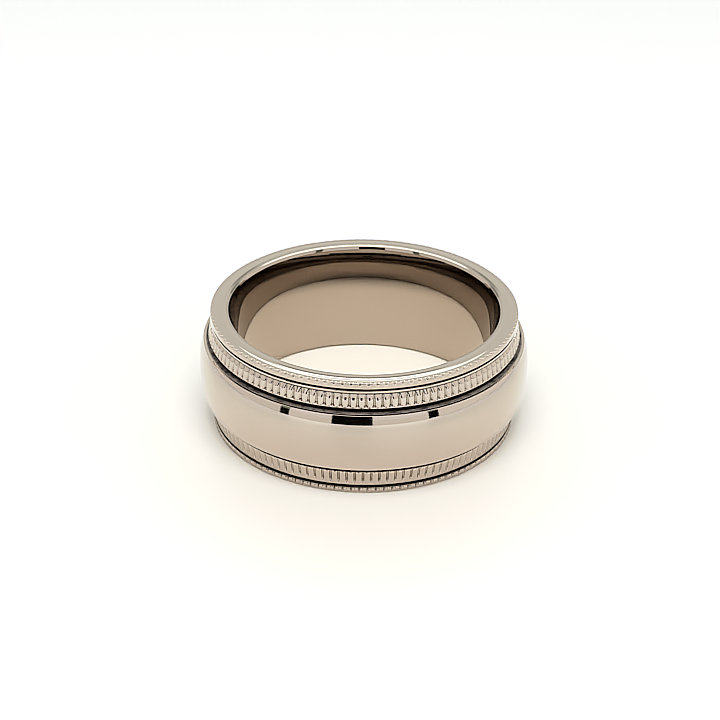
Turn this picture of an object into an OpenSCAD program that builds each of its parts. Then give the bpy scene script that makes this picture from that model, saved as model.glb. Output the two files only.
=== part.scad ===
/* [Band] */
// Width of the band from face to face
band_w = 8; // [7.4:0.1:9]
// Diameter of the finger hole at its narrowest, mid-width
finger_d = 17; // [15:0.1:18]
// Radius of the gentle curve across the inside, which makes the comfort fit
inside_curve_r = 21; // [16:0.5:40]
// Radius of the tighter curve that eases each end of the inside
inside_ease_r = 10; // [4:0.5:12]
// Length of that tighter curve along the band, at each end
inside_ease_w = 1.2; // [0.8:0.1:1.6]
// Height of the narrow bevel round each end of the finger hole
hole_bevel_h = 0.19; // [0.1:0.01:0.3]
// Radial width of that bevel
hole_bevel_w = 0.08; // [0.04:0.01:0.12]

/* [Middle band] */
// Outside diameter at the crown of the domed middle band
crown_d = 21.86; // [21.4:0.02:22.4]
// Width of the domed middle band
dome_w = 3.96; // [3:0.02:4]
// Radius of the gentle curve across the crown
dome_curve_r = 9; // [7:0.5:14]
// Radius of the tighter curve of each shoulder
dome_shoulder_r = 2.6; // [2:0.1:5]
// Width of each shoulder along the band
dome_shoulder_w = 0.78; // [0.4:0.02:1]

/* [Coin-edge ribs] */
// Width of each rib
rib_w = 1.14; // [1:0.02:1.2]
// Outside diameter of a rib on its side towards the dome
rib_inner_d = 20.58; // [20.3:0.02:20.9]
// Outside diameter of a rib on its side towards the face
rib_outer_d = 20.16; // [20:0.02:20.28]
// Number of grains around each rib
rib_grains = 124; // [60:1:150]
// Depth of the notch between two grains, half-way along them
rib_notch = 0.2; // [0.1:0.01:0.24]
// Length of the upper rib's grains along the band
upper_rib_w = 0.96; // [0.7:0.02:0.98]
// Distance from the upper face to their middle
upper_rib_in = 1.11; // [1.08:0.01:1.2]
// Length of the lower rib's grains, whose notches run out on the side towards the dome
lower_rib_w = 1.16; // [0.9:0.02:1.2]
// Distance from the lower face to their middle
lower_rib_in = 1.2; // [1.18:0.01:1.3]

/* [Edge bands] */
// Width of each edge band
edge_w = 0.42; // [0.36:0.02:0.5]
// Outside diameter of the edge bands
edge_d = 20.24; // [20:0.02:20.4]
// Diameters between which the face is flat: its narrow crest, on which the band lies
crest_inner_d = 18.7; // [18.5:0.02:18.8]
crest_outer_d = 18.9; // [18.86:0.02:19.1]
// Slope of the face on both sides of its crest
face_slope = 3.5; // [1:0.5:5]
// Diameter at which the outer slope ends and the flat margin with the grains starts
margin_d = 19.6; // [19.4:0.02:19.8]
// Width and height of the bevel at the outer corner
corner_bevel = 0.05; // [0.03:0.01:0.08]
// Number of grains around each edge band
edge_grains = 120; // [60:1:150]
// Length of each grain on an edge band
edge_grain_w = 0.26; // [0.2:0.02:0.28]
// Depth of the notch between two of the upper edge's grains, which lie on the corner
upper_notch = 0.1; // [0.05:0.01:0.14]
// Distance from the upper face to their middle
upper_edge_in = 0.05; // [0.04:0.01:0.08]
// Depth of the notch between two of the lower edge's grains, which run out into the groove
lower_notch = 0.16; // [0.08:0.01:0.2]
// Distance from the lower face to their middle
lower_edge_in = 0.32; // [0.3:0.01:0.34]

/* [Grooves] */
// Width of the narrow groove between an edge band and its rib
narrow_w = 0.16; // [0.1:0.01:0.2]
// Diameter at the bottom of the grooves
groove_d = 19.2; // [19:0.02:19.6]

/* [Hidden] */
$fn = 96;
// Sides of the circles that carry the long curves
curve_sides = 360;
// Sides of the turned body
turned_sides = 256;
// How far a cutter stands clear of the metal it doesn't cut
over = 0.2;
// Half the angle of the wheel's ridge, which pressed each notch
notch_half_angle = 16;
half_w = band_w / 2;
crown_r = crown_d / 2;
edge_r = edge_d / 2;
groove_r = groove_d / 2;
rib_top = half_w - edge_w - narrow_w;
rib_bottom = rib_top - rib_w;
// Height of the flat margin above mid-width
margin_z = half_w - (margin_d - crest_outer_d) / 2 * tan(face_slope);
// Radius at the floors of the rib's notches
rib_floor_r = (rib_inner_d + rib_outer_d) / 4 - rib_notch;
// The four rows of grains, from the top: how many, radius at the notch floor, height of the row's middle
// above mid-width, length along the band, and a turn in steps. The lower rows sit a little nearer to the
// dome than the upper ones, as the rolling wheel left them.
rows = [
    [edge_grains, edge_r - upper_notch, half_w - upper_edge_in, edge_grain_w, 0],
    [rib_grains, rib_floor_r, half_w - upper_rib_in, upper_rib_w, 0],
    [rib_grains, rib_floor_r, lower_rib_in - half_w, lower_rib_w, 0.5],
    [edge_grains, edge_r - lower_notch, lower_edge_in - half_w, edge_grain_w, 0]
];

// All the section between two heights
module strip(z0, z1) {
    translate([0, z0]) square([crown_r + over, z1 - z0]);
}

// Half of a bowed section, from mid-width up: a gentle curve whose peak is at peak_r, then a tighter one,
// tangent to it, for the last ease_w. A side of 1 bows towards the finger, and -1 away from it.
module bowed(peak_r, side, curve_r, ease_r, half, ease_w) {
    turn_z = half - ease_w;
    tilt = asin(turn_z / curve_r);
    reach = curve_r - ease_r;
    intersection() {
        translate([peak_r + side * curve_r, 0]) circle(r = curve_r, $fn = curve_sides);
        strip(0, turn_z);
    }
    intersection() {
        translate([peak_r + side * (curve_r - reach * cos(tilt)), reach * sin(tilt)])
            circle(r = ease_r, $fn = curve_sides);
        strip(turn_z, half);
    }
}

// Domed middle band
module dome_section() {
    bowed(crown_r, -1, dome_curve_r, dome_shoulder_r, dome_w / 2, dome_shoulder_w);
}

// Coin-edge rib, a little larger towards the dome
module rib_section() {
    polygon([[0, rib_bottom], [rib_inner_d / 2, rib_bottom], [rib_outer_d / 2, rib_top], [0, rib_top]]);
}

// Edge band and face, from the wall over the corner's bevel, the flat margin and the outer slope to the
// crest, and down the inner slope
module edge_section() {
    polygon([
        [0, half_w - edge_w], [edge_r, half_w - edge_w], [edge_r, margin_z - corner_bevel],
        [edge_r - corner_bevel, margin_z], [margin_d / 2, margin_z], [crest_outer_d / 2, half_w],
        [crest_inner_d / 2, half_w], [0, half_w - crest_inner_d / 2 * tan(face_slope)]
    ]);
}

// What the bevel takes off at the end of the finger hole
module hole_bevel() {
    tilt = asin((half_w - inside_ease_w) / inside_curve_r);
    reach = inside_curve_r - inside_ease_r;
    bevel_z = half_w - hole_bevel_h;
    bevel_r = finger_d / 2 + inside_curve_r - reach * cos(tilt)
        - sqrt(pow(inside_ease_r, 2) - pow(bevel_z - reach * sin(tilt), 2));
    widen = hole_bevel_w / hole_bevel_h;
    polygon([[0, bevel_z], [bevel_r, bevel_z], [bevel_r + hole_bevel_w + widen * over, half_w + over],
        [0, half_w + over]]);
}

// The band's cross-section above mid-width, turned about its axis
module half_band() {
    rotate_extrude($fn = turned_sides) difference() {
        intersection() {
            union() {
                square([groove_r, half_w - edge_w]);
                dome_section();
                rib_section();
                edge_section();
            }
            bowed(finger_d / 2, 1, inside_curve_r, inside_ease_r, half_w, inside_ease_w);
        }
        hole_bevel();
    }
}

// One row of notches, as one star-shaped ring that is taken off the band. Each of its V-shaped points
// reaches in to the radius floor_r, over the length w about the height z.
module notches(count, floor_r, z, w, turn) {
    star_r = crown_r + over;
    half_step = (star_r - floor_r) * tan(notch_half_angle) / star_r * 180 / PI;
    points = [
        for (i = [0:count - 1], k = [-1:1])
            let (a = (i + turn) * 360 / count + k * half_step, r = k == 0 ? floor_r : star_r)
                [r * cos(a), r * sin(a)]
    ];
    translate([0, 0, z - w / 2]) linear_extrude(w) difference() {
        circle(r = star_r + over);
        polygon(points);
    }
}

module band() {
    color("silver") translate([0, 0, half_w]) difference() {
        union() {
            half_band();
            mirror([0, 0, 1]) half_band();
        }
        for (row = rows) notches(row[0], row[1], row[2], row[3], row[4]);
    }
}

band();
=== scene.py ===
# %% [markdown]
# # A milgrain band, turned and rolled in Blender
#
# The real object is one ring of polished titanium. A lathe cuts its section, and then a small hard wheel is
# rolled round it to press the rows of grains: a coin-edge rib on each side of the dome, and a finer row of
# beads at each outer corner. This lesson follows the same order. It works out the section, spins it round
# the finger's axis, presses the grains into it, gives it a polished finish and lights it.

# %% Load the fixed frame
import math
from collections import namedtuple

import bpy
import numpy as np
from mathutils import Matrix, Vector

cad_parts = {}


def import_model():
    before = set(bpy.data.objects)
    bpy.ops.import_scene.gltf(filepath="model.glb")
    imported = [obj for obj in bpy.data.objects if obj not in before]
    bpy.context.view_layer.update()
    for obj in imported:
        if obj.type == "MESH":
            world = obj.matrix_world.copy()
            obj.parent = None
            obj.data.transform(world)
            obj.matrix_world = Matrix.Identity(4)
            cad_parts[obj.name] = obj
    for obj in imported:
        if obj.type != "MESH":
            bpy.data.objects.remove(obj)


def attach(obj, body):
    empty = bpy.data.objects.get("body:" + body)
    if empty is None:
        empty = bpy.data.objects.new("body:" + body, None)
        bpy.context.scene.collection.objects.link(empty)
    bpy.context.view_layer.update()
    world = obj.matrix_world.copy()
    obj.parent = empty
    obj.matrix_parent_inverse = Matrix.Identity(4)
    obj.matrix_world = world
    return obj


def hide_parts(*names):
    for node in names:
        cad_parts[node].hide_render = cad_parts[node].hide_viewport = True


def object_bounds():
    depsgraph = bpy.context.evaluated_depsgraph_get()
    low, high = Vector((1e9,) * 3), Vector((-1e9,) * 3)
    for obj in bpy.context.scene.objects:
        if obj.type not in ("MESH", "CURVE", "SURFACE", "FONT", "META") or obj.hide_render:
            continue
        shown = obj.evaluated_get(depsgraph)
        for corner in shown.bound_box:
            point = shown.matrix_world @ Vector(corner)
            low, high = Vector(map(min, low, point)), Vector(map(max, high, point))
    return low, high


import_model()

cad_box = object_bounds()
print("the solid's box:", [list(corner) for corner in cad_box])

# %% [markdown]
# ## Sizes
#
# Blender works in metres, and a ring is easier to think about in millimetres. All sizes below are in
# millimetres and are turned into metres once, when the mesh is made. The width and the outside radius come
# from the solid, so that this mesh fills the same space. The other sizes are those of the real section.

# %% Sizes of the section
MM = 0.001
band_w = (cad_box[1].z - cad_box[0].z) / MM
crown_r = cad_box[1].x / MM
mid_h = band_w / 2
hole_r = 8.5
groove_r = 9.6
dome_w = 3.96
rib_inner_r, rib_outer_r = 10.29, 10.08
rib_near, rib_far, lower_rib_far = 0.58, 1.72, 1.66
edge_r, edge_h = 10.12, 0.42
hole_bevel, hole_bevel_h = 0.02, 0.205
ledge_slope = math.radians(1)
print(f"band {band_w:.2f} mm wide, {2 * crown_r:.2f} mm across, hole {2 * hole_r:.2f} mm")

# %% [markdown]
# The face isn't quite flat. It has a crest, and falls away by a few degrees towards both rims, so that its
# inner and outer parts mirror different parts of the sky. It turns down in two steps on both sides of the
# crest, and the margin with the beads is nearly level again.

# %% Sizes of the face
dip_r, crest_inner_r, crest_outer_r, turn_r, bead_inner_r = 9.12, 9.34, 9.50, 9.66, 9.80
dip_slope, inner_slope, outer_slope, turn_slope, bead_slope = (math.radians(a) for a in (7.5, 5, 3, 6, 1.5))
print(f"face from {hole_r:.2f} to {edge_r:.2f} mm, crest {crest_inner_r:.2f} to {crest_outer_r:.2f} mm")

# %% [markdown]
# ## Two bowed curves
#
# Both the dome and the comfort-fit inside are bows: a gentle arc in the middle and a tighter arc towards
# each end, tangent to it. A lathe hand makes them with a form tool. One function gives the radius of
# either bow at any height above mid-width. Its side is 1 where the bow's peak faces the finger and -1
# where it faces away.

# %% The bow's formula
Bow = namedtuple("Bow", "peak_r side gentle_r ease_r half ease_w")
dome_bow = Bow(crown_r, -1, 9.0, 2.6, dome_w / 2, 0.78)
hole_bow = Bow(hole_r, 1, 21.0, 10.0, mid_h, 1.2)


def bow_radius(bow, height):
    turn = bow.half - bow.ease_w
    if height <= turn:
        return bow.peak_r + bow.side * (bow.gentle_r - math.sqrt(bow.gentle_r ** 2 - height ** 2))
    tilt = math.asin(turn / bow.gentle_r)
    reach = bow.gentle_r - bow.ease_r
    centre_r = bow.peak_r + bow.side * (bow.gentle_r - reach * math.cos(tilt))
    return centre_r - bow.side * math.sqrt(bow.ease_r ** 2 - (height - reach * math.sin(tilt)) ** 2)


hole_edge_r = bow_radius(hole_bow, mid_h)
print(f"dome edge {bow_radius(dome_bow, dome_w / 2):.3f} mm, hole edge {hole_edge_r:.3f} mm")

# %% [markdown]
# ## The section as a path
#
# The section is drawn once, as a path on a half plane: radius across, depth below the upper face down. It
# starts at the dome's crown, climbs over the rib and the edge band, crosses the flat face and goes down the
# inside to mid-width. The lower half of the ring is the same path, mirrored.
#
# No metal corner is perfectly sharp, and a corner that is slightly round catches a bright line of light. So
# each corner has its own small radius, and a helper swaps the corner for a short arc. The arc's points are
# its two ends, seen from its centre and mixed by sines, which keeps them on the circle.

# %% Rounding the corners of a path
HOLD = 0.012
SHARP_TURN = 0.2


def rounded(corners):
    """The path through corners of (radius, depth, round), with an arc at each one that has a round.

    A point is added a hair before and after each arc, so that the flat beside it shades flat."""
    path = []
    for k, (r, d, bend) in enumerate(corners):
        here = np.array((r, d))
        if not bend:
            path.append(here)
            continue
        ahead = np.array(corners[k + 1][:2]) - here
        behind = np.array(corners[k - 1][:2]) - here
        ahead, behind = ahead / np.linalg.norm(ahead), behind / np.linalg.norm(behind)
        half = math.acos(np.clip(ahead @ behind, -1, 1)) / 2
        centre = here + (ahead + behind) / np.linalg.norm(ahead + behind) * bend / math.sin(half)
        reach = bend / math.tan(half)
        first, last = here + behind * reach, here + ahead * reach
        a, b = first - centre, last - centre
        sweep = math.pi - 2 * half
        steps = 2 if sweep > SHARP_TURN else 1
        path.append(first + behind * HOLD)
        for step in range(steps + 1):
            t = step / steps
            weights = math.sin((1 - t) * sweep), math.sin(t * sweep)
            path.append(centre + (a * weights[0] + b * weights[1]) / math.sin(sweep))
        path.append(last + ahead * HOLD)
    return np.array(path)


def lengths_of(path):
    """How far along the path each of its points lies."""
    return np.concatenate([[0], np.cumsum(np.linalg.norm(np.diff(path, axis=0), axis=1))])


def resampled(path, lengths, probe=0.01):
    """Points of the path at the given lengths along it, and the outward normal at each."""
    run = lengths_of(path)

    def at(places):
        return np.stack([np.interp(places, run, path[:, k]) for k in range(2)], 1)

    along = at(np.add(lengths, probe)) - at(np.subtract(lengths, probe))
    normal = np.stack([-along[:, 1], -along[:, 0]], 1)
    return at(lengths), normal / np.linalg.norm(normal, axis=1)[:, None]


trial = rounded([(0, 0, 0), (1, 0, 0.1), (1, 1, 0)])
print(f"a right angle with a round of 0.1 mm becomes {len(trial)} points, {lengths_of(trial)[-1]:.3f} mm long")


# %% [markdown]
# ## Rows of grains
#
# Each row was rolled on with a small wheel, and each wheel has its own shape of tooth. The wheels leave the
# turned surface alone along the spine of each grain, so a grain is flat on top and falls away steeply to the
# gaps. On the upper rib a grain is round at the dome and bends down towards the face, where its gaps fade
# out. On the lower rib the gaps run right through the edge beside the dome. At the lower corner the wheel
# left thumbs, which are round at the groove and fade out towards the face. At the upper corner it drew a
# scalloped crease, so that the beads there are round at their lower ends and run out into the face.
#
# Dirt and oxide stay behind in the gaps, where no polishing cloth comes, and leave them dull. Their deepest
# corners get painted shade, nearly black. This mark is worked out together with the shape and later tells the
# material where to turn dull and dark.
#
# So there is one function for each tooth. At a place across a grain (0 on its spine, 1 half-way to the next)
# and along the row (0 to 1, from the dome to the face) it says how far the metal is pressed down, as a part
# of the row's depth, and its mark of dull metal and painted shade. A mark of 1 is dull metal and a mark of 2
# is painted shade, nearly black. A high power of the place across keeps a grain's top flat and its gap narrow.

# %% The four teeth
def before(along, end):
    """1 at the start of a row, falling to 0 at the given part of it."""
    return max(end - along, 0) / end


# A tooth's second value marks its gaps: up to 1 it is dull metal, and above that painted shade, nearly black.
def pill(across, along, ends, bend_at=0.65, knee=0.05):
    past = before(along, ends)
    gap = np.minimum(across * (1 + 0.3 * past), 1) ** 4 * min((1 - along) / (1 - bend_at), 1)
    bend = max(along - bend_at, 0) / (1 - bend_at)
    return np.minimum(gap + 1.05 * bend ** 2 / (bend + knee), 1.3), gap * (1 + 0.45 * past * across)


def slot(across, along, ends, shoulder=0.15, shaded_end=0.4):
    gap = across ** 4 * min((1 - along) / ends, 1)
    depth = np.minimum(gap + 0.3 * before(along, shoulder) ** 2, 1)
    return depth, gap * (1 + before(along, shaded_end))


def thumb(across, along, ends, squat=0.9):
    gap = np.minimum(np.hypot(across, squat * before(along, ends)), 1) ** 5 * (1 - along) ** 0.35
    return gap, 2 * gap


def bead(across, along, ends, crease_w=0.45):
    crease = np.maximum(1 - abs(np.hypot(across, before(along, ends)) - 1) / crease_w, 0) * across ** 4
    crease = crease * (1 - max(along - ends, 0) / (1 - ends))
    return crease, np.minimum(2.6 * crease, 1.3)


spot = np.array([1.0])
for tooth in (pill, slot, thumb, bead):
    depth, dirt = tooth(spot, 0.5, 0.5)
    print(f"{tooth.__name__}: half-way along, a gap has {depth[0]:.2f} of the depth and dirt of {dirt[0]:.2f}")


# %% [markdown]
# A row is named by its tooth, how many grains it has, how deep it goes, where along the path it starts and
# ends, how long its ends are as a part of the whole, and by what part of a step it is turned. The lower
# rows start nearer to the dome than the upper ones, as on the real ring.

# %% The four rows
Row = namedtuple("Row", "tooth count depth start end ends turn")
upper_rib = Row(pill, 124, 0.15, 0.06, 0.96, 0.24, 0.30)
lower_rib = Row(slot, 124, 0.20, -0.03, 0.97, 0.20, 0.05)
upper_edge = Row(bead, 120, 0.04, 0.28, 0.52, 0.60, 0.55)
lower_edge = Row(thumb, 120, 0.20, 0.0, 0.39, 0.50, 0.60)


def pressed(row, across, along, slack=0.002):
    """The depth and the mark of dull metal and painted shade at a part of a grain and a length along the path,
    both 0 outside the row.
    """
    part = (along - row.start) / (row.end - row.start)
    if not -slack < part < 1 + slack:
        return np.zeros_like(across), np.zeros_like(across)
    depth, dirt = row.tooth(np.abs(across), min(max(part, 0), 1), row.ends)
    return row.depth * depth, dirt


for row in (upper_rib, lower_rib, upper_edge, lower_edge):
    print(f"{row.tooth.__name__}: {row.count} grains, {row.depth} mm deep, {row.end - row.start:.2f} mm long")


# %% [markdown]
# ## From path to rings
#
# Spinning gives one ring of points for each station along the path. The plain stretches need few points
# round the ring, because a smooth curve shades well. The grains need many: eight to a grain, and closer
# together near the notch, where the metal is steepest. The lips beside them need half as many. The stitching
# further down joins rings that have different numbers of points.

# %% Rings of points
PLAIN_SIDES = 200
GRAIN_COLUMNS = np.array((-1, -0.82, -0.6, -0.3, 0, 0.3, 0.6, 0.82))
ROW_MARGIN = 0.02
Ring = namedtuple("Ring", "angles radii depths dirt")


def plain_rings(path):
    angles = np.arange(PLAIN_SIDES) * 2 * math.pi / PLAIN_SIDES
    clean = np.zeros(PLAIN_SIDES)
    return [Ring(angles, clean + r, clean + d, clean) for r, d in path]


def grain_rings(path, row, lengths):
    """The rings of a stretch that has a row of grains, with the grains pressed in."""
    step = 2 * math.pi / row.count
    rings = []
    for length, (r, d), (nr, nz) in zip(lengths, *resampled(path, lengths)):
        clear = not row.start - ROW_MARGIN < length < row.end + ROW_MARGIN
        columns = GRAIN_COLUMNS[::2] if clear else GRAIN_COLUMNS
        angles = ((np.arange(row.count)[:, None] + 0.5 + columns / 2 + row.turn) * step).ravel()
        across = np.tile(columns, row.count)
        tilt = math.atan2(max(nz, 0), nr)
        depth, dirt = pressed(row, across, length)
        rings.append(Ring(angles, r - depth * math.cos(tilt), d + depth * math.sin(tilt), dirt))
    return rings


print(f"plain rings have {PLAIN_SIDES} points, and the upper rib's {upper_rib.count * len(GRAIN_COLUMNS)}")


# %% [markdown]
# Along a row the rings stand closest at its ends, where the grains round off, and where the pills bend. The
# smooth margins of the stretch need only the points of the path itself.

# %% Places for the rings of a row
ROW_PARTS = (0, 0.05, 0.14, 0.28, 0.44, 0.6, 0.67, 0.75, 0.86, 0.95, 1)
HAIR = 0.015


def stations(path, row):
    run = lengths_of(path)
    inside = [row.start + (row.end - row.start) * part for part in ROW_PARTS]
    outside = [x for x in [*run, row.start - HAIR, row.end + HAIR] if not row.start < x < row.end]
    bends = [x for x in run if row.start < x < row.end and min(abs(x - y) for y in inside) > HOLD]
    return sorted(set(round(float(x), 4) for x in inside + outside + bends if 0 <= x <= run[-1]))


print(f"{len(ROW_PARTS)} rings along each row of grains")


# %% [markdown]
# ## The whole outside and inside
#
# Each half of the ring is five stretches: the dome with its ledge, the rib, the narrow groove, the edge band,
# and the face with the inside. The two halves differ in their rows of grains and in how wide the rib is.
#
# The points of the dome, the face and the inside are the same on both halves.

# %% Dome, face and inside
lip, soft, gentle, corner_round = 0.03, 0.15, 0.5, 0.04
rim_gap, hole_start = 0.06, 0.35
dome_steps, hole_steps = 11, 14


def bow_points(bow, start, end, count):
    return [(bow_radius(bow, h), mid_h - h) for h in np.linspace(start, end, count)]


dome = bow_points(dome_bow, 0, dome_w / 2 - rim_gap, dome_steps)
hole = bow_points(hole_bow, mid_h - hole_start, 0, hole_steps)
turn_d = (turn_r - crest_outer_r) * math.tan(outer_slope)
bead_d = turn_d + (bead_inner_r - turn_r) * math.tan(turn_slope)
corner_d = bead_d + (edge_r - bead_inner_r) * math.tan(bead_slope)
bevel_r = hole_edge_r + hole_bevel
dip_d = (crest_inner_r - dip_r) * math.tan(inner_slope)
bevel_d = dip_d + (dip_r - bevel_r) * math.tan(dip_slope)
face = rounded([
    (bead_inner_r, bead_d, 0), (turn_r, turn_d, gentle), (crest_outer_r, 0, gentle),
    (crest_inner_r, 0, gentle), (dip_r, dip_d, gentle), (bevel_r, bevel_d, lip),
    (bow_radius(hole_bow, mid_h - hole_bevel_h), hole_bevel_h, soft), (*hole[0], 0),
])
print(f"{len(dome)} points on the dome, {len(face)} on the face and {len(hole)} inside")

# %% [markdown]
# The two stretches with grains start and end a little inside their grooves, so each row's place on its path
# moves on by that length.

# %% One half
wall = 0.06
overlap = 0.02


def rolled(path, row):
    row = row._replace(start=row.start + wall, end=row.end + wall)
    return grain_rings(path, row, stations(path, row))


def half_rings(rib_row, edge_row, rib_far):
    dome_d = mid_h - dome_w / 2
    rim_r = bow_radius(dome_bow, dome_w / 2)
    inner_d = dome_d - (rim_r - groove_r) * math.tan(ledge_slope)
    ledge = rounded([(*dome[-1], 0), (rim_r, dome_d, lip), (groove_r, inner_d, lip), (groove_r, rib_far, 0)])
    rib_path = rounded([
        (rib_inner_r - wall, rib_far, 0), (rib_inner_r, rib_far, lip),
        (rib_outer_r, rib_near, lip), (rib_outer_r - wall, rib_near, 0),
    ])
    edge_path = rounded([
        (edge_r - wall, edge_h, 0), (edge_r, edge_h, lip), (edge_r, corner_d, corner_round),
        (bead_inner_r + overlap, bead_d, 0),
    ])
    groove = [(groove_r, rib_near), (groove_r, edge_h)]
    rings = plain_rings([*dome, *ledge[1:]]) + rolled(rib_path, rib_row) + plain_rings(groove)
    return rings + rolled(edge_path, edge_row) + plain_rings([*face, *hole[1:]])


upper = half_rings(upper_rib, upper_edge, rib_far)
lower = half_rings(lower_rib, lower_edge, lower_rib_far)
print(len(upper), "rings above mid-width and", len(lower), "below")

# %% [markdown]
# ## Stitching the rings
#
# Neighbouring rings are joined by quads where they have the same points round, and by a zip of triangles
# where they don't. The zip walks round both rings at once and always steps forward on the one that is
# behind, so no long thin triangle crosses another.

# %% Stitching
def stitched(first, first_angles, second, second_angles):
    n, m = len(first), len(second)
    if n == m and np.allclose(first_angles, second_angles):
        return [(first[i], first[(i + 1) % n], second[(i + 1) % n], second[i]) for i in range(n)]
    faces, i, j = [], 0, 0
    full = 2 * math.pi
    while i < n or j < m:
        next_i = first_angles[(i + 1) % n] + full * ((i + 1) // n) if i < n else math.inf
        next_j = second_angles[(j + 1) % m] + full * ((j + 1) // m) if j < m else math.inf
        if next_i <= next_j:
            faces.append((first[i % n], first[(i + 1) % n], second[j % m]))
            i += 1
        else:
            faces.append((first[i % n], second[(j + 1) % m], second[j % m]))
            j += 1
    return faces


def closed_mesh(name, rings):
    """One watertight mesh from rings of (angles, radii, heights, dirt), in order round the section."""
    dirt = np.concatenate([ring[3] for ring in rings])
    points, index, faces = [], [], []
    for angles, radii, heights, _ in rings:
        start = sum(len(p) for p in points)
        index.append(np.arange(start, start + len(angles)))
        points.append(np.stack([radii * np.cos(angles), radii * np.sin(angles), heights], 1) * MM)
    for k in range(len(rings)):
        after = (k + 1) % len(rings)
        faces += stitched(index[k].tolist(), rings[k][0], index[after].tolist(), rings[after][0])
    mesh = bpy.data.meshes.new(name)
    mesh.from_pydata(np.concatenate(points).tolist(), [], faces)
    mesh.validate()
    mesh.shade_smooth()
    mesh.attributes.new("dirt", "FLOAT", "POINT").data.foreach_set("value", dirt)
    piece = bpy.data.objects.new(name, mesh)
    bpy.context.scene.collection.objects.link(piece)
    triangles = sum(len(p.vertices) - 2 for p in mesh.polygons)
    print(f"{name}: {len(mesh.vertices)} points, {triangles} triangles")
    return piece


section = [(r.angles, r.radii, band_w - r.depths, r.dirt) for r in upper]
section += [(r.angles, r.radii, r.depths, r.dirt) for r in reversed(lower[1:-1])]
ring = closed_mesh("milgrain_band", section)

# %% [markdown]
# ## Shader maths as Python
#
# A material is a graph of nodes, and long graphs are hard to read. The small class below wraps a socket, so
# that ordinary Python expressions add the Math nodes. Everything else comes from one method that takes a
# node's type, its settings and what goes into its sockets.

# %% A socket that Python can calculate with
class Wire:
    def __init__(self, bench, socket):
        self.bench, self.socket = bench, socket

    def _math(self, operation, a, b):
        return self.bench.node("ShaderNodeMath", {"operation": operation}, {0: a, 1: b})

    def __add__(self, other):
        return self._math("ADD", self, other)

    def __sub__(self, other):
        return self._math("SUBTRACT", self, other)

    def __rsub__(self, other):
        return self._math("SUBTRACT", other, self)

    def __mul__(self, other):
        return self._math("MULTIPLY", self, other)

    def __pow__(self, other):
        return self._math("POWER", self, other)

    def past(self, start, end):
        """0 before start, 1 after end, and a smooth step between them."""
        ranges = {0: self, 1: start, 2: end, 3: 0.0, 4: 1.0}
        return self.bench.node("ShaderNodeMapRange", {"interpolation_type": "SMOOTHSTEP"}, ranges)

    def size(self):
        return self._math("ABSOLUTE", self, 0.0)

    __radd__, __rmul__ = __add__, __mul__


# %% A bench of nodes
class Bench:
    """A node tree to work on."""

    def __init__(self, owner):
        owner.use_nodes = True
        self.tree = owner.node_tree
        self.tree.nodes.clear()

    def node(self, kind, settings=None, sockets=None, output=0):
        made = self.tree.nodes.new(kind)
        for name, value in (settings or {}).items():
            setattr(made, name, value)
        for name, value in (sockets or {}).items():
            if isinstance(value, Wire):
                self.tree.links.new(value.socket, made.inputs[name])
            else:
                made.inputs[name].default_value = value
        return Wire(self, made.outputs[output]) if made.outputs else made

    def noise(self, place, scale, detail=2.0, rough=0.5):
        sockets = {"Vector": place, "Scale": scale, "Detail": detail, "Roughness": rough}
        return self.node("ShaderNodeTexNoise", {}, sockets)

    def mix(self, factor, first, second):
        """One colour turning into another. Each is a wire or three numbers."""
        ends = {
            6: first if isinstance(first, Wire) else (*first, 1),
            7: second if isinstance(second, Wire) else (*second, 1),
        }
        return self.node("ShaderNodeMix", {"data_type": "RGBA"}, {0: factor, **ends}, output=2)


# %% [markdown]
# ## Polished titanium
#
# Titanium is a warm grey metal, much darker than silver. Polished on a wheel it mirrors what is round it,
# but a worn ring keeps faint lines that run round it and a haze of fine scratches. The lines follow one
# coordinate, radius plus height, so they run round the walls and round the flat faces alike. They are far
# too fine to model, so they are bump.
#
# The grooves were never polished. Deep down in them the metal turns nearly black, which is painted shade, and
# the ledge beside the dome turns dark brown, which is grime in blots and painted shade. Masks find these
# places by radius and by height from mid-width, each with the two places between which it turns from 0 to 1.
# In the rows of grains the mesh itself carries the mark of dull metal and painted shade. A noise has a number
# of waves to the metre.

# %% Where the masks start and end
off_hole_r, outside_r = (9.2, 9.4), (9.0, 9.15)
narrow_r, narrow_h = (9.96, 10.03), (3.90, 3.95)
wide_low_h, wide_high_h = (1.90, 1.94), (2.24, 2.30)
deep_r, ledge_r = (10.1, 10.25), (10.40, 10.50)
# Past the first range the metal turns dull, and past the second it turns to painted shade.
dull_dirt, painted_shade_level = (0.25, 0.8), (1.1, 1.7)


def past_mm(wire, places):
    """The same step, between two places in millimetres."""
    return wire.past(places[0] * MM, places[1] * MM)


print(f"soot and grime from {wide_low_h[0]} to {wide_high_h[1]} mm above and below mid-width")

# %% The finish
bright_metal, deep_metal = (0.48, 0.42, 0.366), (0.462, 0.403, 0.351)
bright_inside, deep_inside = (0.396, 0.338, 0.29), (0.378, 0.322, 0.275)
# Of the last three colours, the second, dark brown, is grime and painted shade, and the third, nearly black,
# is painted shade.
dull_metal, grime_and_shade_colour, painted_shade_colour = (0.42, 0.36, 0.30), (0.018, 0.0135, 0.011), (0.012, 0.009, 0.007)
line_waves, haze_waves, tone_waves, blot_waves = 26000.0, 900.0, 160.0, 2600.0


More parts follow.
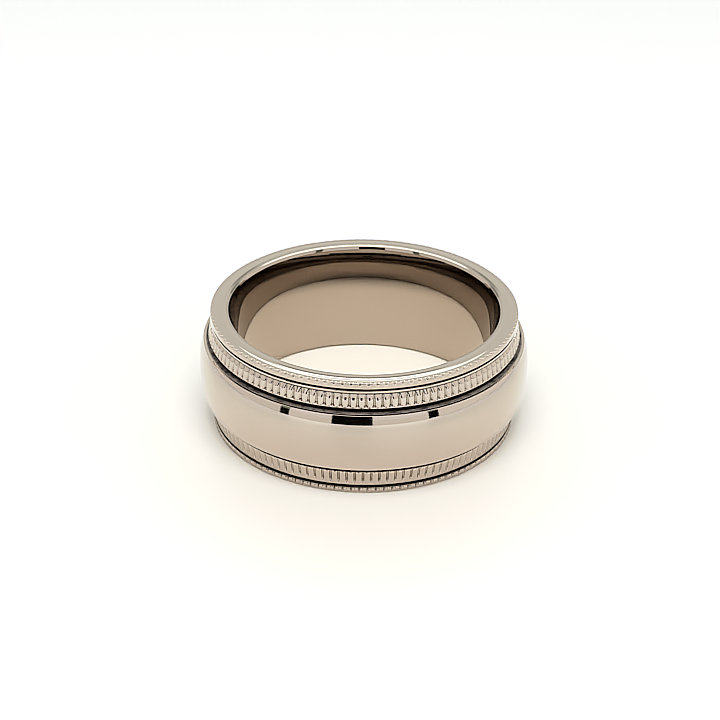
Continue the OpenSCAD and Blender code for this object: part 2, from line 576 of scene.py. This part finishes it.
def polished_titanium():
    material = bpy.data.materials.new("polished_titanium")
    bench = Bench(material)
    place = bench.node("ShaderNodeTexCoord", output=3)
    split = bench.node("ShaderNodeSeparateXYZ", sockets={0: place})
    outputs = split.socket.node.outputs
    x, y, z = (Wire(bench, outputs[k]) for k in range(3))
    radius = (x * x + y * y) ** 0.5
    from_middle = (z - mid_h * MM).size()
    around = bench.node("ShaderNodeCombineXYZ", sockets={0: x * 0.02, 1: y * 0.02, 2: radius + z})
    lines = bench.noise(around, line_waves, 2.0, 0.6)
    haze = bench.noise(place, haze_waves, 3.0, 0.6)
    tone, blots = bench.noise(place, tone_waves), bench.noise(place, blot_waves)
    off_hole = past_mm(radius, off_hole_r)
    narrow = off_hole * (1 - past_mm(radius, narrow_r)) * (1 - past_mm(from_middle, narrow_h))
    wide = off_hole * past_mm(from_middle, wide_low_h) * (1 - past_mm(from_middle, wide_high_h))
    # Painted shade: the narrow groove and the deep part of the wide groove turn nearly black.
    painted_shade = (narrow + wide * (1 - past_mm(radius, deep_r))).past(0.0, 1.0)
    # The ledge turns dark brown: grime in blots, and painted shade.
    grime_and_shade = wide * (1 - past_mm(radius, ledge_r)) * (0.88 + blots.past(0.4, 0.65) * 0.12)
    dirt = bench.node("ShaderNodeAttribute", {"attribute_name": "dirt"}, output=2)
    dull = dirt.past(*dull_dirt)
    # The grains' gaps whose mark passes 1.1 get the same painted shade.
    painted_shade = (painted_shade + dirt.past(*painted_shade_level)).past(0.0, 1.0)
    outer = past_mm(radius, outside_r)
    outside = bench.mix(tone, deep_metal, bright_metal)
    inside = bench.mix(tone, deep_inside, bright_inside)
    metal = bench.mix(dull, bench.mix(outer, inside, outside), dull_metal)
    colour = bench.mix(painted_shade, bench.mix(grime_and_shade, metal, grime_and_shade_colour), painted_shade_colour)
    # Painted shade and grime turn the metal into a rough, dark non-metal.
    shaded_and_grimy = (painted_shade + grime_and_shade * 0.9).past(0.0, 1.0)
    roughness = (0.03 + haze * 0.05) * (0.4 + outer * 0.6) + shaded_and_grimy * 0.4 + dull * 0.2
    relief = {"Strength": 0.04, "Distance": 0.01 * MM, "Height": lines + haze * 0.5}
    surface = {
        "Base Color": colour, "Metallic": 1 - shaded_and_grimy, "Roughness": roughness,
        "Specular IOR Level": 0.1, "Normal": bench.node("ShaderNodeBump", {}, relief),
    }
    shader = bench.node("ShaderNodeBsdfPrincipled", {}, surface)
    bench.node("ShaderNodeOutputMaterial", {}, {"Surface": shader})
    print(f"{material.name}: {len(bench.tree.nodes)} nodes")
    return material


ring.data.materials.append(polished_titanium())
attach(ring, "root")
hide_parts("band")

# %% [markdown]
# ## Floor
#
# A polished thing looks like what is round it, so the floor and the lights matter as much as the metal. The
# floor is a wide sheet of smooth white paper. Close to the ring its colour is darker and warmer, which is
# painted shade and painted warm light mirrored off the metal. Inside the ring it is warm, which is painted
# warm light mirrored off the inside.

# %% The paper
# The close and near colours are painted shade and painted warm light off the metal, the hole's colour is
# painted warm light off the inside, and the far colour is the plain paper.
shaded_warm_close_paper, shaded_warm_near_paper = (0.397, 0.367, 0.326), (0.43, 0.422, 0.388)
far_paper, warm_lit_hole_paper = (0.495, 0.50, 0.49), (0.484, 0.438, 0.363)
painted_light_middle = (0, -6 * MM, 0)


def floor_finish():
    material = bpy.data.materials.new("floor_paper")
    bench = Bench(material)
    place = bench.node("ShaderNodeTexCoord", output=3)
    apart = {"operation": "DISTANCE"}
    from_axis = bench.node("ShaderNodeVectorMath", apart, {0: place, 1: (0, 0, 0)}, output=1)
    from_front = bench.node("ShaderNodeVectorMath", apart, {0: place, 1: painted_light_middle}, output=1)
    # Painted shade and painted warm light, strongest just in front of the ring.
    colour = bench.mix(past_mm(from_front, (7, 18)), shaded_warm_close_paper, shaded_warm_near_paper)
    colour = bench.mix(past_mm(from_front, (18, 40)), colour, far_paper)
    # Painted warm light on the paper inside the ring.
    colour = bench.mix(1 - past_mm(from_axis, (8.8, 9.5)), colour, warm_lit_hole_paper)
    shader = bench.node("ShaderNodeBsdfPrincipled", {}, {"Base Color": colour, "Roughness": 0.35})
    bench.node("ShaderNodeOutputMaterial", {}, {"Surface": shader})
    print(f"{material.name}: {len(bench.tree.nodes)} nodes")
    return material


# %% The floor
def sheet_mesh(name, corners, faces, material):
    mesh = bpy.data.meshes.new(name)
    mesh.from_pydata(corners, [], faces)
    mesh.materials.append(material)
    made = bpy.data.objects.new(name, mesh)
    bpy.context.scene.collection.objects.link(made)
    return made


floor_reach = 1.5
floor_corners = [(x * floor_reach, y * floor_reach, 0) for x, y in ((-1, -1), (1, -1), (1, 1), (-1, 1))]
floor = sheet_mesh("floor", floor_corners, [(0, 1, 2, 3)], floor_finish())
print(f"floor {2 * floor_reach:.1f} m across")

# %% [markdown]
# ## Light
#
# The sky gives an even white light, and a wide round lamp hangs above, nearer to the camera than the ring.
# The lamp lights the floor in front of the ring and inside it.
#
# Deep in the ring's grooves and hole light is mirrored many times, and what is left of it looks dark in a
# photograph. So the sky and the screens fade for light that was mirrored three times or more, and some of
# them have a strength of their own for light that was mirrored twice.
#
# Round the ring stand a few screens that only its mirror finish sees: a dark patch where the camera stands,
# pale sheets and grey posts at the front and the sides, and a long lamp and a beam behind. They are patches
# of a ball round the ring, placed by compass angle and height angle, so each is one line of a table. Angle 0
# is towards the camera and grows to the right.

# %% The sky
def fading(bench, strength, twice=1.0):
    """A strength that is multiplied for light that was mirrored twice, and halved after that."""
    light_path = bench.node("ShaderNodeLightPath").socket.node
    bounces = Wire(bench, light_path.outputs["Glossy Depth"])
    second = bounces.past(1.2, 1.8) * (twice - 1) + 1
    return second * (1 - bounces.past(2.2, 2.8) * 0.5) * strength


cool, sky_strength = (0.96, 1.0, 1.015), 1.04
world = bpy.data.worlds.new("studio")
bpy.context.scene.world = world
sky = Bench(world)
glow_of_sky = {"Color": (*cool, 1), "Strength": fading(sky, sky_strength)}
sky.node("ShaderNodeOutputWorld", {}, {"Surface": sky.node("ShaderNodeBackground", {}, glow_of_sky)})
print(f"{world.name}: {len(sky.tree.nodes)} nodes")

# %% The screens
Screen = namedtuple("Screen", "name distance left right low high colour strength twice")
white, cream, pale = (1, 0.99, 0.97), (1, 0.97, 0.90), (0.98, 1.0, 0.93)
grey, black = (0.95, 1, 0.85), (0.003, 0.003, 0.003)
screens = [
    Screen("front_dark", 0.058, -18.5, 5.6, -6, 30, black, 1, 1),
    Screen("front_sheet", 0.062, -50, 39, -4, 8, cream, 1.2, 1),
    Screen("front_wall", 0.064, -50, 39, 8, 50, white, 1.27, 1),
    Screen("left_corner", 0.058, -50.5, -44.5, -6, 9, black, 1, 1),
    Screen("right_corner", 0.058, 39, 45.5, -3, 11, black, 1, 1),
    Screen("left_post", 0.058, -50.5, -44.5, 9, 36, grey, 0.3, 1),
    Screen("right_post", 0.058, 39, 45.5, 11, 36, grey, 0.3, 1),
    Screen("left_low", 0.066, -120, -50.5, -4, 14, cream, 1.14, 0.01),
    Screen("left_high", 0.066, -120, -50.5, 14, 50, cream, 1.14, 1.6),
    Screen("right_low", 0.066, 45.5, 120, -4, 14, cream, 1.25, 0.01),
    Screen("right_high", 0.066, 45.5, 120, 14, 50, cream, 1.25, 1.5),
    Screen("back_low", 0.30, 56, 304, 0, 14, cool, 1.0, 0.01),
    Screen("back_sky", 0.31, 56, 304, 14, 36.2, pale, 1.06, 1.9),
    Screen("back_beam", 0.30, 175.5, 184.5, 30.8, 33, pale, 0.55, 1),
    Screen("back_lamp", 0.31, 150, 210, 36.2, 42.2, white, 2.7, 1),
    Screen("back_wall", 0.31, 120, 240, 42.2, 50, pale, 1.0, 1),
    Screen("overhead", 0.32, -180, 180, 50, 88, white, 1.7, 1),
]


def glow(name, colour, strength, twice=1.0):
    material = bpy.data.materials.new(name)
    bench = Bench(material)
    strength = fading(bench, strength, twice)
    light = bench.node("ShaderNodeEmission", {}, {"Color": (*colour, 1), "Strength": strength})
    bench.node("ShaderNodeOutputMaterial", {}, {"Surface": light})
    return material


def screen_patch(screen, step=4.0, clearance=0.0001):
    """A patch of a ball round the ring, seen only by its reflections."""
    across = max(2, math.ceil((screen.right - screen.left) / step) + 1)
    up = max(2, math.ceil((screen.high - screen.low) / step) + 1)
    corners = []
    for high in np.radians(np.linspace(screen.low, screen.high, up)):
        for turn in np.radians(np.linspace(screen.left, screen.right, across)):
            flat = math.cos(high) * screen.distance
            height = mid_h * MM + math.sin(high) * screen.distance
            corners.append((math.sin(turn) * flat, -math.cos(turn) * flat, max(height, clearance)))
    faces = [
        (i * across + j, i * across + j + 1, (i + 1) * across + j + 1, (i + 1) * across + j)
        for i in range(up - 1) for j in range(across - 1)
    ]
    light = glow(screen.name, screen.colour, screen.strength, screen.twice)
    made = sheet_mesh(screen.name, corners, faces, light)
    made.visible_camera = made.visible_diffuse = made.visible_shadow = False


for screen in screens:
    screen_patch(screen)
nearest = min(screen.distance for screen in screens)
print(f"{len(screens)} screens, the nearest {nearest:.3f} m from the ring's middle")

# %% The lamp
lamp_r, lamp_h, lamp_forward, lamp_sides, lamp_strength = 0.14, 0.30, 0.13, 48, 16.4
turns = np.arange(lamp_sides) * 2 * math.pi / lamp_sides
lamp_rim = [(lamp_r * math.cos(t), lamp_r * math.sin(t) - lamp_forward, lamp_h) for t in turns]
lamp = sheet_mesh("lamp", lamp_rim, [tuple(range(lamp_sides))], glow("lamp", white, lamp_strength))
lamp.visible_camera = lamp.visible_glossy = False
print(f"lamp {2 * lamp_r:.2f} m across, {lamp_h:.2f} m up")

# %% [markdown]
# ## Camera
#
# The camera looks down on the ring at 30 degrees from close by, which is why the near side looks larger
# than the far side. It leans over by less than a degree.

# %% The camera
camera_down, camera_roll = math.radians(29.80), math.radians(0.685)
camera_distance = 112.54 * MM
camera_target = Vector((-0.247, 0, 3.855)) * MM
view = Vector((0, math.cos(camera_down), -math.sin(camera_down)))
level_right = Vector((1, 0, 0))
level_up = level_right.cross(view)
right = level_right * math.cos(camera_roll) + level_up * math.sin(camera_roll)
up = level_up * math.cos(camera_roll) - level_right * math.sin(camera_roll)
lens = bpy.data.cameras.new("camera")
lens.sensor_width, lens.lens = 36, 83.97
lens.clip_start, lens.clip_end = 0.005, 10
camera = bpy.data.objects.new("camera", lens)
turned = Matrix((right, up, -view)).transposed().to_4x4()
camera.matrix_world = Matrix.Translation(camera_target - view * camera_distance) @ turned
bpy.context.scene.collection.objects.link(camera)
bpy.context.scene.camera = camera
bpy.context.scene.view_settings.view_transform = "Standard"
bpy.context.scene.cycles.glossy_bounces = 6
bpy.context.scene.cycles.max_bounces = 16
print(f"camera {camera_distance / MM:.1f} mm away, {math.degrees(camera_down):.1f} degrees up")

# %% [markdown]
# ## A phone's way with a picture
#
# A phone holds back the brightest tones, sharpens every edge and then clips what is brighter than white. So
# the curve first bends over near white and pushes all beyond it well past white, and the sharpening then
# draws a dark line round whatever stands against them. The sharpening works between two gammas, so that it
# treats dark and light edges alike, as the eye sees them.

# %% The picture's treatment
bpy.context.scene.use_nodes = True
treatment = bpy.context.scene.node_tree
treatment.nodes.clear()
layer = treatment.nodes.new("CompositorNodeRLayers")
tones = treatment.nodes.new("CompositorNodeCurveRGB")
white_level = 1.5
tones.inputs["White Level"].default_value = (white_level, white_level, white_level, 1)
tones.mapping.clip_max_y = 3
tones.mapping.extend = "HORIZONTAL"
tone_curve = tones.mapping.curves[3]
beyond_white = 1.9
tone_curve.points[1].location = 1, beyond_white
for light, shown in ((0.7, 0.7), (1.0, 0.88), (1.12, 0.94), (1.22, 1.0)):
    tone_curve.points.new(light / white_level, shown)
for point in tone_curve.points:
    point.handle_type = "VECTOR"
tones.mapping.update()
display_gamma, sharpness = 2.2, 0.20
display, linear = (treatment.nodes.new("CompositorNodeGamma") for _ in range(2))
display.inputs["Gamma"].default_value = 1 / display_gamma
linear.inputs["Gamma"].default_value = display_gamma
sharpen = treatment.nodes.new("CompositorNodeFilter")
sharpen.filter_type = "SHARPEN"
sharpen.inputs["Fac"].default_value = sharpness
picture = treatment.nodes.new("CompositorNodeComposite")
steps = layer, tones, display, sharpen, linear, picture
for first, second in zip(steps[:-1], steps[1:]):
    treatment.links.new(first.outputs["Image"], second.inputs["Image"])
print("the picture goes through", ", ".join(step.name for step in steps))
